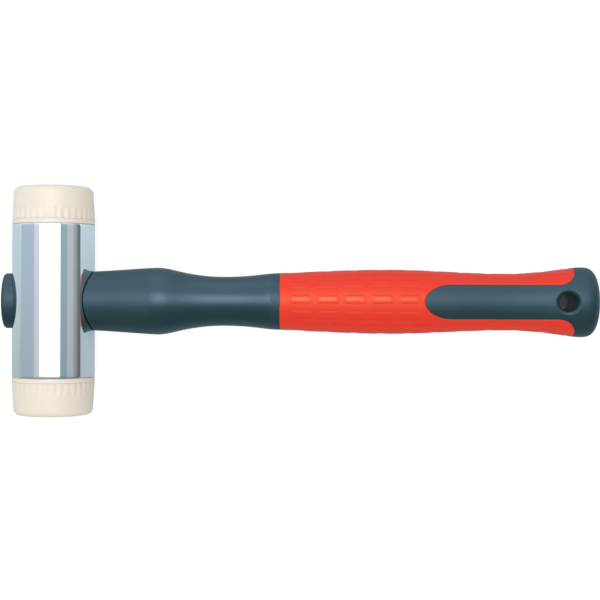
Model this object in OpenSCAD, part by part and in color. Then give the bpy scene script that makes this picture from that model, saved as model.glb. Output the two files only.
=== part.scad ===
// Soft face hammer: a steel barrel with two screw-in nylon faces on an oval, rubber-gripped handle.
// The head axis lies along Y, the handle runs along +X and the hammer lies flat on z = 0.

/* [Barrel] */
// Outside diameter of the steel barrel
barrel_d = 38; // [32:0.5:48]
// Length of the barrel between its two end planes
barrel_len = 71; // [64:0.5:90]
// Bevel on the barrel's end edges
barrel_bevel = 0.6; // [0.2:0.1:1.5]
// Height of the oval eye, along the barrel
eye_h = 21; // [18:0.5:24]
// Width of the oval eye, across the barrel
eye_w = 16; // [14:0.5:17]

/* [Soft faces] */
// Height of a nylon face above its ring
face_h = 15.4; // [12:0.2:24]
// Draft of the face's side, in degrees
face_draft = 3.2; // [1:0.1:5]
// Radius of the rounded edge of the striking face
face_round = 3; // [1:0.1:4]
// Number of flutes round a face
flute_count = 36; // [24:1:48]
// Depth of a flute at the ring; the draft runs it out towards the striking face
flute_depth = 0.3; // [0.2:0.05:0.8]
// Width of a flute at the ring
flute_w = 2.2; // [1.5:0.1:2.6]

/* [Rings] */
// Thickness of the captive ring between a face and the barrel
ring_t = 2; // [1:0.1:4]

/* [Screw threads] */
// Outside diameter of a face's threaded stud
stud_d = 20; // [16:0.5:24]
// Length of the stud inside the barrel
stud_len = 15; // [10:0.5:17]
// Pitch of the right-hand thread
thread_pitch = 2.5; // [2:0.25:3]
// Height of the thread
thread_h = 1.2; // [0.8:0.1:1.4]
// Play between the stud and its socket, all round the thread
thread_play = 0.25; // [0.2:0.05:0.4]
// Whole turns of free thread below the stud's end
spare_turns = 1; // [1:1:2]

/* [Handle heights] */
// Height of the neck where it leaves the barrel
neck_h = 27.6; // [24:0.2:32]
// Height of the neck's crest
crest_h = 31.2; // [28:0.2:36]
// Height of the shoulder, where the crest falls steepest
shoulder_h = 28.2; // [25:0.2:33]
// Height of the waist
waist_h = 22.9; // [20:0.2:26]
// Height of the rise behind the waist
rise_h = 25.1; // [22:0.2:28]
// Height where the grip starts
grip_h = 26.5; // [24:0.2:32]
// Height of the grip's belly
belly_h = 30; // [26:0.2:36]
// Height of the narrow part behind the belly
tail_h = 26.5; // [24:0.2:32]
// Height of the flare ahead of the butt
flare_h = 30.5; // [27:0.2:36]
// Height of the butt
butt_h = 32.6; // [28:0.2:38]
// Depth of the handle as a share of its height
oval = 0.85; // [0.75:0.01:1]

/* [Handle lengths] */
// From the barrel to the crest
neck_len = 29; // [22:0.5:36]
// From the crest to the shoulder
crest_len = 10; // [8:0.5:14]
// From the shoulder to the waist
hollow_len = 21.5; // [17:0.5:28]
// From the waist to the rise
rise_len = 17.5; // [14:0.5:22]
// From the rise to the start of the grip
lead_len = 8.5; // [6:0.5:11]
// From the start of the grip to its belly
fore_len = 51.5; // [42:0.5:62]
// From the belly to the narrow part
aft_len = 53.5; // [44:0.5:64]
// From the narrow part to the flare
flare_len = 25.5; // [20:0.5:32]
// From the flare to the butt's widest place
butt_len = 10; // [8:0.5:14]
// From the butt's widest place to the end
end_len = 7.9; // [6:0.1:10]

/* [Grip sleeve] */
// Thickness of the soft sleeve
sleeve_t = 2.2; // [1.5:0.1:3]
// Length of the hard butt behind the sleeve's horns
butt_cap_len = 11.8; // [9:0.2:16]
// Radius at the inner corner of a horn's end
horn_round = 7.6; // [4:0.2:8]
// Length of the hard tongue ahead of the horns' ends
tongue_len = 69.5; // [50:0.5:90]
// Height of the tongue
tongue_h = 16; // [12:0.2:18]
// Length of the tongue's round nose
nose_len = 12; // [8:0.2:18]

/* [Hanging hole] */
// Diameter of the hanging hole
hole_d = 8.2; // [7:0.1:10]
// From the hole's axis to the end of the handle
hole_inset = 15.8; // [14:0.2:20]
// Width of the sunk lip round the hole
hole_lip = 1.5; // [0.8:0.1:2]

/* [Core and eye cap] */
// Diameter of the fibreglass core rod
rod_d = 10; // [8:0.2:12]
// From the rod's end to the hanging hole's wall
rod_cover = 8; // [5:0.5:14]
// Depth of the rod in the eye cap
rod_grip = 2; // [1:0.1:2.6]
// Height of the oval eye cap
cap_h = 25.6; // [23:0.2:27]
// Width of the oval eye cap, across the barrel
cap_w = 18; // [17:0.2:22]
// How far the cap stands out of the barrel's side
cap_proud = 3.8; // [3:0.1:6]
// Radius of the cap's rounded edge
cap_round = 1.4; // [0.5:0.1:1.6]

/* [Clearances] */
// Gap between bonded or moulded pieces
bond_gap = 0.05; // [0.02:0.01:0.1]
// Gap between a ring and the pieces it lies between
ring_gap = 0.05; // [0.02:0.01:0.2]
// Gap between a ring and the neck of the stud
neck_gap = 0.4; // [0.3:0.05:0.6]

/* [Hidden] */
$fn = 64;

barrel_r = barrel_d / 2;
// How far a cut runs past the piece it is made in
over = 1;

// Distances of the handle's stations from the head axis
crest_x = barrel_r + neck_len;
shoulder_x = crest_x + crest_len;
waist_x = shoulder_x + hollow_len;
rise_x = waist_x + rise_len;
grip_x = rise_x + lead_len;
belly_x = grip_x + fore_len;
tail_x = belly_x + aft_len;
flare_x = tail_x + flare_len;
butt_x = flare_x + butt_len;
end_x = butt_x + end_len;
horn_x = end_x - butt_cap_len;
nose_x = horn_x - tongue_len;
hole_x = end_x - hole_inset;
rod_end_x = hole_x - hole_d / 2 - rod_cover;
cap_x = -barrel_r - cap_proud;
middle_x = (cap_x + end_x) / 2;

// Slopes of the outline, half height over length, where it isn't level
neck_slope = 0.04;
crest_slope = 0.05;
shoulder_slope = -0.24;
rise_slope = 0.135;
grip_slope = 0.045;
flare_slope = 0.14;

// The outline's stations: distance from the head axis, half height, slope
STATIONS = [
    [0, neck_h / 2 - neck_slope * barrel_r, neck_slope],
    [barrel_r, neck_h / 2, neck_slope],
    [crest_x, crest_h / 2, crest_slope],
    [shoulder_x, shoulder_h / 2, shoulder_slope],
    [waist_x, waist_h / 2, 0],
    [rise_x, rise_h / 2, rise_slope],
    [grip_x, grip_h / 2, grip_slope],
    [belly_x, belly_h / 2, 0],
    [tail_x, tail_h / 2, 0],
    [flare_x, flare_h / 2, flare_slope],
    [butt_x, butt_h / 2, 0]
];

// Cubic curve from station p to station q, at distance x
function curve(x, p, q) =
    let (len = q[0] - p[0], t = (x - p[0]) / len)
    (2 * pow(t, 3) - 3 * pow(t, 2) + 1) * p[1]
    + (pow(t, 3) - 2 * pow(t, 2) + t) * len * p[2]
    + (3 * pow(t, 2) - 2 * pow(t, 3)) * q[1]
    + (pow(t, 3) - pow(t, 2)) * len * q[2];

// Half height of the butt's rounded end, a superellipse that closes on a small flat
end_power = 2.75;
end_flat = 2;
function end_half(x) =
    end_flat + (butt_h / 2 - end_flat) * pow(1 - pow((x - butt_x) / end_len, end_power), 1 / end_power);

// Half height of the handle at distance x from the head axis
function half_h(x, k = 0) =
    x >= end_x ? end_flat
    : x >= butt_x ? end_half(x)
    : x <= STATIONS[k + 1][0] ? curve(x, STATIONS[k], STATIONS[k + 1])
    : half_h(x, k + 1);

// Distances of the rings from x0 to x1: even along the handle, finer round its end
ring_step = 6;
end_steps = 7;
function ring_marks(x0, x1) =
    let (
        first = ring_step * ceil(x0 / ring_step + 0.25),
        last = min(x1, butt_x) - ring_step / 4
    )
    concat(
        [x0],
        [for (x = [first : ring_step : last]) x],
        [for (k = [0 : end_steps - 1])
            let (x = butt_x + end_len * sin(90 * k / end_steps))
            if (x > x0 && x < x1) x],
        [x1]
    );

// Solid lofted along X through oval rings, each a distance and a half height; depth is a share of the height
ring_sides = 36;
module oval_loft(rings, depth = oval) {
    last = len(rings) - 1;
    points = [for (ring = rings, k = [0 : ring_sides - 1])
        let (a = 360 * k / ring_sides)
        [ring[0], ring[1] * cos(a), depth * ring[1] * sin(a)]];
    skin = [for (i = [0 : last - 1], k = [0 : ring_sides - 1])
        let (p = i * ring_sides + k, q = i * ring_sides + (k + 1) % ring_sides)
        each [[p, p + ring_sides, q + ring_sides], [p, q + ring_sides, q]]];
    front = [for (k = [0 : ring_sides - 1]) k];
    back = [for (k = [ring_sides - 1 : -1 : 0]) last * ring_sides + k];
    polyhedron(points, concat(skin, [front, back]));
}

// The handle's outline from x0 to x1, drawn in by inset
module handle_body(x0, x1, inset = 0) {
    oval_loft([for (x = ring_marks(x0, x1)) [x, half_h(x) - inset]]);
}

// Outline of the tongue window seen along Z: round nose, straight sides, round corners at the horns' ends
arc_steps = 8;
module tongue_outline(gap = 0) {
    half = tongue_h / 2 + gap;
    corner = horn_round - gap;
    nose = [for (k = [0 : 2 * arc_steps])
        let (a = 90 - 90 * k / arc_steps)
        [nose_x + nose_len - (nose_len + gap) * cos(a), half * sin(a)]];
    lower = [for (k = [0 : arc_steps])
        let (a = 90 - 90 * k / arc_steps)
        [horn_x - horn_round + corner * cos(a), -half - corner + corner * sin(a)]];
    upper = [for (k = [arc_steps : -1 : 0])
        let (a = 90 - 90 * k / arc_steps)
        [horn_x - horn_round + corner * cos(a), half + corner - corner * sin(a)]];
    back = [[end_x + over, -half - corner], [end_x + over, half + corner]];
    polygon(concat(nose, lower, back, upper));
}

// The tongue window as a cut right through the handle
module tongue_cut(gap = 0) {
    linear_extrude(height = 2 * barrel_d, center = true) tongue_outline(gap);
}

// Cylinder along the handle from x0 to x1
module bar(d, x0, x1) {
    translate([x0, 0, 0]) rotate([0, 90, 0]) cylinder(d = d, h = x1 - x0);
}

// Cylinder along the head axis
module barrel_bar(d, len) {
    rotate([90, 0, 0]) cylinder(d = d, h = len, center = true);
}

// Oval prism through the barrel's eye
module eye_bar(gap = 0) {
    d = eye_w - 2 * gap;
    reach = (eye_h - eye_w) / 2;
    for (y = [-reach, reach])
        translate([0, y, 0]) bar(d, -barrel_r - over, barrel_r + over);
    cube([2 * (barrel_r + over), 2 * reach, d], center = true);
}

// Sizes of the thread, shared by the stud and its socket
core_r = stud_d / 2 - thread_h;
ridge_foot = 0.45 * thread_pitch - thread_play;
ridge_tip = 0.15 * thread_pitch;
thread_steps = 24;

// Threaded rod about +Z from z0 to past z1, made larger by play; from plain_z on the thread has run out
module threaded_rod(z0, z1, play, plain_z) {
    turns = ceil((z1 - z0) / thread_pitch) + 2;
    rows = 4 * turns;
    ridge = [-ridge_foot - play, -ridge_tip - play, ridge_tip + play, ridge_foot + play];
    rise = [0, thread_h, thread_h, 0];
    points = concat(
        [for (i = [0 : thread_steps - 1], j = [0 : rows - 1])
            let (
                a = 360 * i / thread_steps,
                z = z0 + ridge_foot + thread_pitch * (i / thread_steps + floor(j / 4)) + ridge[j % 4],
                shown = max(0, min(1, 2 * (plain_z - z) / thread_pitch)),
                r = core_r + play + rise[j % 4] * shown
            )
            [r * cos(a), r * sin(a), z]],
        [[0, 0, z0 + thread_pitch / 2], [0, 0, z0 + thread_pitch * (turns - 0.5)]]
    );
    bottom = thread_steps * rows;
    top = bottom + 1;
    // The same row in the next column, one pitch higher where the turn closes
    function next(i, j) = i < thread_steps - 1 ? (i + 1) * rows + j : j + 4;
    skin = [for (i = [0 : thread_steps - 1], j = [0 : rows - 6])
        let (p = i * rows + j)
        each [[p, p + 1, next(i, j + 1)], [p, next(i, j + 1), next(i, j)]]];
    lower = [for (i = [0 : thread_steps - 1]) [bottom, i * rows, next(i, 0)]];
    lower_step = [for (j = [0 : 3]) [bottom, j + 1, j]];
    upper = [for (i = [0 : thread_steps - 1]) [top, next(i, rows - 5), i * rows + rows - 5]];
    upper_step = [for (j = [rows - 5 : rows - 2]) [top, j, j + 1]];
    polyhedron(points, concat(skin, lower, lower_step, upper, upper_step));
}

// A flute's cut across the face's side: half its width wide on the floor, with sloping walls
module flute_outline() {
    wall = flute_w / 4 / flute_depth;
    reach = flute_depth + over;
    half = flute_w / 4;
    polygon([[0, -half], [reach, -half - wall * reach], [reach, half + wall * reach], [0, half]]);
}

// A face built along +Z, flush with the barrel, with z = 0 on the barrel's end plane
module soft_face() {
    base_z = ring_t + 2 * ring_gap;
    top_z = base_z + face_h;
    tip_r = barrel_r - (face_h - face_round) * tan(face_draft);
    edge = [for (k = [0 : arc_steps])
        let (a = face_draft + (90 - face_draft) * k / arc_steps)
        [tip_r - face_round * cos(face_draft) + face_round * cos(a),
            top_z - face_round + face_round * sin(a)]];
    difference() {
        rotate_extrude() polygon(concat([[0, base_z], [barrel_r, base_z]], edge, [[0, top_z]]));
        for (k = [0 : flute_count - 1])
            rotate([0, 0, 360 * (k + 0.5) / flute_count])
            translate([barrel_r - flute_depth, 0, base_z - over])
            linear_extrude(height = face_h - face_round + over) flute_outline();
    }
    threaded_rod(-stud_len, base_z, 0, -thread_pitch / 2);
}

// A threaded socket cut along +Z into the barrel, with z = 0 on the barrel's end plane
module face_socket() {
    past_end = 2 * thread_pitch;
    threaded_rod(-stud_len - spare_turns * thread_pitch, past_end, thread_play, 3 * past_end);
}

// Captive ring between a face and the barrel, along +Z, flush with both
module ring() {
    difference() {
        translate([0, 0, ring_gap]) cylinder(r = barrel_r, h = ring_t);
        translate([0, 0, -over]) cylinder(r = core_r + neck_gap, h = ring_t + 2 * over);
    }
}

// Puts a piece built along +Z on the upper or the lower end of the barrel
module on_end(side) {
    translate([0, side * barrel_len / 2, 0]) rotate([-90 * side, 0, 0]) children();
}

// Moves the head axis from the origin to its place above the surface that the hammer lies on
module lie_flat() {
    translate([-middle_x, 0, barrel_r]) children();
}

module head_barrel() {
    color("silver") lie_flat() difference() {
        rotate([90, 0, 0]) rotate_extrude() polygon([
            [0, -barrel_len / 2], [barrel_r - barrel_bevel, -barrel_len / 2],
            [barrel_r, -barrel_len / 2 + barrel_bevel], [barrel_r, barrel_len / 2 - barrel_bevel],
            [barrel_r - barrel_bevel, barrel_len / 2], [0, barrel_len / 2]
        ]);
        eye_bar();
        for (side = [1, -1])
            on_end(side) face_socket();
    }
}

module upper_face() {
    color("antiquewhite") lie_flat() on_end(1) soft_face();
}

module lower_face() {
    color("antiquewhite") lie_flat() on_end(-1) soft_face();
}

module upper_ring() {
    color("ivory") lie_flat() on_end(1) ring();
}

module lower_ring() {
    color("ivory") lie_flat() on_end(-1) ring();
}

module handle_shaft() {
    color("slategray") lie_flat() difference() {
        handle_body(0, end_x);
        difference() {
            handle_body(grip_x, horn_x, -over);
            handle_body(grip_x - over, horn_x + over, sleeve_t);
            tongue_cut();
        }
        barrel_bar(barrel_d + 2 * bond_gap, barrel_len);
        bar(rod_d + 2 * bond_gap, 0, rod_end_x + bond_gap);
        hang_hole();
    }
}

// The hanging hole along Z with its two sunk lips
hole_wall = 2 * (oval * half_h(hole_x) - hole_lip);
module hang_hole() {
    translate([hole_x, 0, 0]) {
        cylinder(d = hole_d, h = 2 * barrel_d, center = true);
        for (turn = [0, 180])
            rotate([turn, 0, 0]) translate([0, 0, hole_wall / 2])
            cylinder(d1 = hole_d, d2 = hole_d + 4 * hole_lip, h = 2 * hole_lip);
    }
}

module grip_sleeve() {
    color("tomato") lie_flat() difference() {
        handle_body(grip_x + bond_gap, horn_x - bond_gap);
        handle_body(grip_x - over, horn_x + over, sleeve_t - bond_gap);
        tongue_cut(bond_gap);
    }
}

module core_rod() {
    color("khaki") lie_flat() bar(rod_d, -barrel_r - rod_grip, rod_end_x);
}

module eye_resin() {
    color("goldenrod") lie_flat() difference() {
        intersection() {
            eye_bar(bond_gap);
            barrel_bar(barrel_d, barrel_len);
        }
        bar(rod_d + 2 * bond_gap, -barrel_r - over, barrel_r + over);
    }
}

module eye_cap() {
    edge = [for (k = [0 : arc_steps])
        let (a = 90 * k / arc_steps)
        [cap_x + cap_round - cap_round * cos(a), cap_h / 2 - cap_round + cap_round * sin(a)]];
    color("slategray") lie_flat() difference() {
        oval_loft(concat(edge, [[0, cap_h / 2]]), cap_w / cap_h);
        barrel_bar(barrel_d + 2 * bond_gap, barrel_len);
        bar(rod_d + 2 * bond_gap, -barrel_r - rod_grip - bond_gap, 0);
    }
}

head_barrel();
upper_face();
lower_face();
upper_ring();
lower_ring();
handle_shaft();
grip_sleeve();
core_rod();
eye_resin();
eye_cap();
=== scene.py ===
# %% [markdown]
# # A soft face hammer
# The hammer's solids, joints and sizes are fixed by its CAD model. Blender adds the looks: smooth
# skins, threads, flutes, the grip's raised dashes, and the finish of each material.
# The frame is loaded first. Nothing made here may reach outside it.

import bmesh
import bpy
import numpy as np
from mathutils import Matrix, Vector


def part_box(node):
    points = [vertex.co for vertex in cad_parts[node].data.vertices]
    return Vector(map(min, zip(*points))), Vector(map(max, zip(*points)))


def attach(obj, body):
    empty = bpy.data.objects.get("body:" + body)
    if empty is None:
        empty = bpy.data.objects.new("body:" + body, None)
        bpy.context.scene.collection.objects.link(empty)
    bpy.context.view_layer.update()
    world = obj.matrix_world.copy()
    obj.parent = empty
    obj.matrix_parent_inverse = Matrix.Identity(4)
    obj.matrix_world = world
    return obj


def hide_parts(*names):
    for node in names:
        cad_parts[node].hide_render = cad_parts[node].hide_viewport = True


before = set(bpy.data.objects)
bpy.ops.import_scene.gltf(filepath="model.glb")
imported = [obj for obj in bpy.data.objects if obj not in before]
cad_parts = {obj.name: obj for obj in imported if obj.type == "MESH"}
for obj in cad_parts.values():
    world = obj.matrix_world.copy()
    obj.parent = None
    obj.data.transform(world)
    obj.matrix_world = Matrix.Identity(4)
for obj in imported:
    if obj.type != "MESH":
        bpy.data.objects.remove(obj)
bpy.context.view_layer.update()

# %% [markdown]
# Every shape below is worked out in millimetres from the middle of the head: x runs along the handle,
# y along the head and z up. The barrel's box says where that middle lies in the frame.

# %% The middle of the head
barrel_box = np.array([list(corner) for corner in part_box("head_barrel")]) * 1000
HEAD = barrel_box.mean(axis=0)
BODY = "handle_and_barrel"
print("middle of the head, mm:", HEAD.round(2))

# %% [markdown]
# ## Tools for making surfaces
# Most pieces of a hammer are turned or lofted, so they are stacks of rings: a grid of points with one
# row for each ring. One function joins the grid with quads and closes both ends on a pole.
# A Spin or a primitive would do for the barrel, but not for the fluted faces or the oval handle.

# %% Rings to faces
def circle(steps):
    """Angles of even steps, once round a circle."""
    return np.arange(steps) * 2 * np.pi / steps


def tube_quads(rows, columns, wrap):
    """Quads of a grid of rings. Each joins two neighbours on a ring to the same two on the next ring.
    With wrap, the last ring is joined to the first."""
    i = np.arange(rows if wrap else rows - 1)[:, None] * columns
    j = np.arange(columns)[None, :]
    k = (j + 1) % columns
    below = (i + columns) % (rows * columns)
    return np.stack([i + j, i + k, below + k, below + j], axis=-1).reshape(-1, 4)


def sock(rings, first_pole, last_pole):
    """A closed tube: the rings joined by quads, and each end closed by a fan of triangles on its pole."""
    rows, columns = rings.shape[:2]
    points = np.concatenate([rings.reshape(-1, 3), [first_pole], [last_pole]])
    j = np.arange(columns)
    k = (j + 1) % columns
    pole = np.full(columns, rows * columns)
    last = (rows - 1) * columns
    first_fan = np.stack([pole, k, j], axis=-1)
    last_fan = np.stack([pole + 1, last + j, last + k], axis=-1)
    return points, [tube_quads(rows, columns, False), np.concatenate([first_fan, last_fan])]


def hoop(rings):
    """A closed ring: like a tube, but its last row is joined to its first."""
    rows, columns = rings.shape[:2]
    return rings.reshape(-1, 3), [tube_quads(rows, columns, True)]


print("quads between 3 rings of 8 points:", len(tube_quads(3, 8, False)))

# %% [markdown]
# The points and faces of a piece go into its mesh at once. Its object stays at the origin, because the
# place of every point is already in the mesh. Shading is smooth, and breaks only where the skin bends
# sharply.

# %% Faces to a piece
SHARP = np.radians(38)


def outwards(points, faces):
    """Turns all faces round if they enclose a negative volume, a sixth of the sum of a . (b x c)."""
    fans = np.concatenate([np.stack([f[:, 0], f[:, n], f[:, n + 1]], axis=-1)
                           for f in faces for n in range(1, f.shape[1] - 1)])
    a, b, c = (points[fans[:, n]] for n in range(3))
    volume = (a * np.cross(b, c)).sum() / 6
    return faces if volume > 0 else [f[:, ::-1] for f in faces]


def shape(name, points, faces):
    """A smooth mesh object at the origin, from points in mm from the middle of the head."""
    mesh = bpy.data.meshes.new(name)
    lists = [corner for f in outwards(points, faces) for corner in f.tolist()]
    mesh.from_pydata(((points + HEAD) / 1000).tolist(), [], lists)
    mesh.polygons.foreach_set("use_smooth", np.ones(len(mesh.polygons), bool))
    made = bpy.data.objects.new(name, mesh)
    bpy.context.scene.collection.objects.link(made)
    return made


def finish_piece(made, node, body):
    """Creases the mesh where it bends sharply, and lets it stand for a CAD node on its body."""
    made.data.set_sharp_from_angle(angle=SHARP)
    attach(made, body)
    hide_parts(node)
    print(made.name, "has", len(made.data.polygons), "faces and stands for", node)


print("skins are creased at bends of more than", round(np.degrees(SHARP)), "degrees")

# %% [markdown]
# ## The screw threads
# Each nylon face screws into the barrel. The ridge is eased at its foot and tip, as a moulded thread is.
# A Screw modifier could wind it, but would leave open ends. A radius that depends on angle and height has
# none, and the stud and its socket can share it, so they stay in mesh at every turn.

# %% One thread for stud and socket
PITCH, STUD_R, STUD_LEN, PLAY = 2.5, 10.0, 15.0, 0.25
THREAD_H = 1.2
CORE_R = STUD_R - THREAD_H
RIDGE_FOOT, RIDGE_TIP = 0.875, 0.375


def ease(share):
    """A smooth step from 0 to 1: three times the square less twice the cube."""
    share = np.clip(share, 0, 1)
    return share * share * (3 - 2 * share)


def thread_r(angle, height, play):
    """Radius of a right-hand thread. The distance along the screw to the nearest turn of the helix,
    whose height grows by a pitch a turn, sets the share of the ridge's height that is reached."""
    turn = (height + STUD_LEN - RIDGE_FOOT) / PITCH - angle / (2 * np.pi)
    away = PITCH * np.abs(turn - np.round(turn))
    return CORE_R + play + THREAD_H * ease((RIDGE_FOOT + play - away) / (RIDGE_FOOT - RIDGE_TIP))


def turned(r, y, angle):
    """Rings about the head axis: radius r at an angle stands at (r cos, y, r sin)."""
    r, y, angle = np.broadcast_arrays(r, np.asarray(y)[:, None], angle[None, :])
    return np.stack([r * np.cos(angle), y, r * np.sin(angle)], axis=-1)


print("turns of thread on a stud:", STUD_LEN / PITCH)

# %% [markdown]
# ## The chromed barrel
# A turned steel barrel with a threaded socket in each end and an oval eye through its side. Its skin
# runs from the floor of one socket, out over the end and along the side, to the floor of the other.
# A Spin could turn the outside but not the threads, so the whole skin is one stack of rings. The grid is
# fine, because a mirror shows every facet.

# %% The barrel
BARREL_R, BARREL_HALF, BARREL_BEVEL = 19.0, 35.5, 0.6
SOCKET_DEPTH = STUD_LEN + PITCH
MOUTH, MOUTH_STEP = 0.9, 0.01
FLOOR_SHARES = np.array([0.3, 0.6, 0.9])
END_R = [14, 17]
WALL_ROWS, BEVEL_ROWS, SIDE_ROWS = 64, 7, 72
barrel_angle = circle(240)


def barrel_end(side):
    """Rings from a socket's floor out to the barrel's side: floor, threaded wall, mouth, flat end, and a
    quarter circle for the edge."""
    wall = np.linspace(-SOCKET_DEPTH, -MOUTH, WALL_ROWS)
    wall_r = thread_r(-side * barrel_angle[None, :], wall[:, None], PLAY)
    floor_r = wall_r[:1] * FLOOR_SHARES[:, None]
    turn = np.linspace(0, np.pi / 2, BEVEL_ROWS)
    rim_r = np.concatenate([[STUD_R + PLAY, STUD_R + PLAY + MOUTH], END_R,
                            BARREL_R - BARREL_BEVEL + BARREL_BEVEL * np.sin(turn)])
    rim = np.concatenate([[MOUTH_STEP - MOUTH, 0, 0, 0], BARREL_BEVEL * np.cos(turn) - BARREL_BEVEL])
    r = np.concatenate([floor_r, wall_r, np.repeat(rim_r[:, None], len(barrel_angle), axis=1)])
    height = np.concatenate([np.full(len(floor_r), -SOCKET_DEPTH), wall, rim])
    return turned(r, side * (BARREL_HALF + height), barrel_angle)


side_y = np.linspace(BARREL_HALF - BARREL_BEVEL, BARREL_BEVEL - BARREL_HALF, SIDE_ROWS)[1:-1]
barrel_rings = np.concatenate([
    barrel_end(1),
    turned(np.full((len(side_y), 1), BARREL_R), side_y, barrel_angle),
    barrel_end(-1)[::-1],
])
socket_floor = np.array([0, BARREL_HALF - SOCKET_DEPTH, 0])
barrel = shape("chrome_barrel", *sock(barrel_rings, socket_floor, -socket_floor))
print("barrel of", len(barrel_rings), "rings")

# %% [markdown]
# The eye is an oval hole for the rod and the resin around it: a circle whose halves are moved apart.
# It could be left open in the grid, but its edge would be ragged where the oval meets the cylinder. So a
# cutter of that form is lofted along x, and a Boolean takes it out. The neck and the cap hide the edges.
# The result is kept as the mesh, so that no modifier stays on the piece.

# %% The eye
EYE_HALF_H, EYE_HALF_W, EYE_REACH = 10.5, 8.0, 24.0


def along_x(x, half_y, half_z, columns):
    """Oval rings along the handle: at distance x a point stands at (x, half_y cos, half_z sin)."""
    angle = circle(columns)
    x, half_y, half_z = (np.asarray(v, float)[:, None] + 0 * angle for v in (x, half_y, half_z))
    return np.stack([x, half_y * np.cos(angle), half_z * np.sin(angle)], axis=-1)


def carve(target, cutters):
    """Takes the volume of each cutter out of the target with an exact Boolean."""
    for cutter in cutters:
        cut = target.modifiers.new("cut", "BOOLEAN")
        cut.solver = "EXACT"
        cut.object = cutter
    seen = target.evaluated_get(bpy.context.evaluated_depsgraph_get())
    carved = bpy.data.meshes.new_from_object(seen)
    target.modifiers.clear()
    target.data = carved
    carved.name = target.name
    for cutter in cutters:
        bpy.data.objects.remove(cutter)


eye_x = np.linspace(-EYE_REACH, EYE_REACH, 9)
eye_half = np.full(len(eye_x), EYE_HALF_W)
eye_rings = along_x(eye_x, eye_half, eye_half, 96)
eye_rings[..., 1] += np.sign(eye_rings[..., 1].round(6)) * (EYE_HALF_H - EYE_HALF_W)
carve(barrel, [shape("eye_space", *sock(eye_rings, [-EYE_REACH, 0, 0], [EYE_REACH, 0, 0]))])
finish_piece(barrel, "head_barrel", BODY)

# %% [markdown]
# ## The nylon faces
# Each face is moulded in one piece with its stud: a flat striking face with a round edge, a side with a
# little draft, and round flutes that start at the ring and run out on the side. Booleans could cut the
# flutes, but as a part of the radius they can fade out along the side.
# The whole skin is one stack of rings from the middle of the striking face to the tip of the stud.

# %% The fluted side
RING_T, RING_GAP = 2.0, 0.05
FACE_BASE = RING_T + 2 * RING_GAP
FACE_H, FACE_ROUND, FACE_DRAFT = 15.4, 3.0, np.radians(3.2)
FACE_TOP = FACE_BASE + FACE_H
FLUTES, FLUTE_DEPTH, FLUTE_HALF_W, FLUTE_SOFT = 36, 0.3, 1.2, 0.02
FLUTE_LEN, FLUTE_FADE, FLUTE_POINTS = 6.2, 2.6, 8
face_angle = circle(FLUTES * FLUTE_POINTS)


def fluted(height):
    """Radius of the side: the drafted cone less the depth of a flute, which falls with the square of the
    distance round the side and fades out along the flute. Half the sum of that depth d and
    sqrt(d^2 + soft^2) is a depth with its corners rubbed off."""
    up = (height - FACE_BASE)[:, None]
    turn = face_angle * FLUTES / (2 * np.pi) - 0.5
    away = np.abs(turn - np.round(turn))[None, :] * 2 * np.pi * BARREL_R / FLUTES
    depth = FLUTE_DEPTH * ease((FLUTE_LEN - up) / FLUTE_FADE) * (1 - (away / FLUTE_HALF_W) ** 2)
    return BARREL_R - up * np.tan(FACE_DRAFT) - (depth + np.hypot(depth, FLUTE_SOFT)) / 2


print(FLUTES, "flutes, with", len(face_angle), "points round a face")

# %% [markdown]
# Below its neck the stud's thread runs in gently, and its tip is chamfered, so that it finds the socket.

# %% The faces
SKIRT_EDGE, FILLET, FIRST_R = 0.12, 0.4, 2.0
RUN_IN, LEAD, LEAD_SINK = 1.6, 1.1, 0.5
NECK_HEIGHTS = np.array([FACE_BASE - 0.3, 1.4, 0.6, -0.2])
TIP_R = np.array([6.5, 4.0])
FLAT_ROWS, ROUND_ROWS, DRAFT_ROWS, UNDER_ROWS, STUD_ROWS = 7, 13, 30, 6, 92


def face_rings(side):
    """Rings of a face: striking face, round edge, fluted side, underside, neck, threaded stud."""
    inner = BARREL_R - (FACE_H - FACE_ROUND) * np.tan(FACE_DRAFT) - FACE_ROUND * np.cos(FACE_DRAFT)
    turn = np.linspace(np.pi / 2, FACE_DRAFT, ROUND_ROWS)[1:]
    round_h = FACE_TOP - FACE_ROUND + FACE_ROUND * np.sin(turn)
    side_h = np.linspace(round_h[-1], FACE_BASE + SKIRT_EDGE, DRAFT_ROWS)[1:]
    stud_h = np.linspace(-MOUTH, -STUD_LEN, STUD_ROWS)
    fade = ease((-stud_h - MOUTH) / RUN_IN)[:, None]
    lead = np.clip((stud_h + STUD_LEN) / LEAD, 0, 1)[:, None]
    ridge = thread_r(-side * face_angle[None, :], stud_h[:, None], 0) - CORE_R
    stud_r = np.minimum(CORE_R + ridge * fade, CORE_R - LEAD_SINK + (THREAD_H + LEAD_SINK) * lead)
    under = np.linspace(BARREL_R - FLUTE_DEPTH - SKIRT_EDGE, CORE_R + FILLET, UNDER_ROWS)
    rows = [
        (np.linspace(FIRST_R, inner, FLAT_ROWS), np.full(FLAT_ROWS, FACE_TOP)),
        (inner + FACE_ROUND * np.cos(turn), round_h),
        (fluted(side_h), side_h),
        (fluted(np.array([FACE_BASE])) - SKIRT_EDGE / 3, np.array([FACE_BASE + SKIRT_EDGE / 4])),
        (under, np.full(UNDER_ROWS, FACE_BASE)),
        (np.full(len(NECK_HEIGHTS), CORE_R), NECK_HEIGHTS),
        (stud_r, stud_h),
        (TIP_R, np.full(len(TIP_R), -STUD_LEN)),
    ]
    columns = [r if r.ndim > 1 else np.repeat(r[:, None], len(face_angle), axis=1) for r, _ in rows]
    height = np.concatenate([h for _, h in rows])
    return turned(np.concatenate(columns), side * (BARREL_HALF + height), face_angle)


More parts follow.
